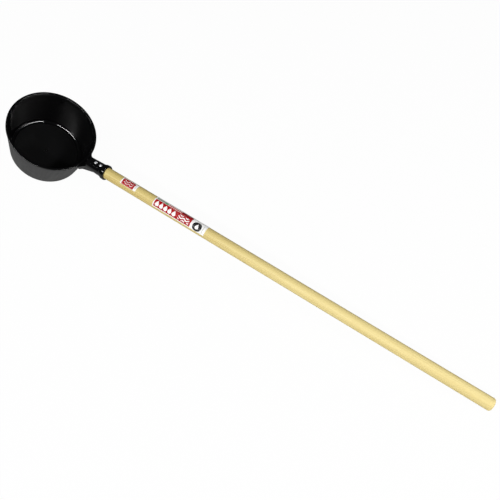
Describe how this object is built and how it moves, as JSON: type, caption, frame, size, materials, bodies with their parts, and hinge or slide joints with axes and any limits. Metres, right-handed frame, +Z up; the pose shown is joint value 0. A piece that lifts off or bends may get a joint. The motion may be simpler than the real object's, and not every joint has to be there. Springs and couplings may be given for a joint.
{
  "type": "hishaku water dipper",
  "caption": "Long-handled water dipper: a tapered black plastic cup with a tubular socket, screwed to a plain round wooden handle that carries two printed stickers.",
  "frame": {"origin": "middle of the dipper's bounding box at the level of the surface it lies on, which the cup's heel and the underside of the handle's free end touch", "axes": "+Z up, +X from the cup towards the handle's free end, +Y across, so the dipper is symmetric about the XZ plane but for the stickers"},
  "size_m": [1.112, 0.18, 0.1674],
  "materials": {
    "black_plastic": "glossy black moulding, satin on the outside of the cup",
    "pale_wood": "planed and sanded, unvarnished",
    "bright_steel": "bright zinc plate",
    "small_sticker": "printed film, red on white",
    "long_sticker": "printed film, red on white"
  },
  "bodies": {
    "root": {"cup": "black_plastic", "handle": "pale_wood", "screw_near_cup": "bright_steel", "screw_near_mouth": "bright_steel", "small_label": "small_sticker", "long_label": "long_sticker"}
  },
  "joints": []
}
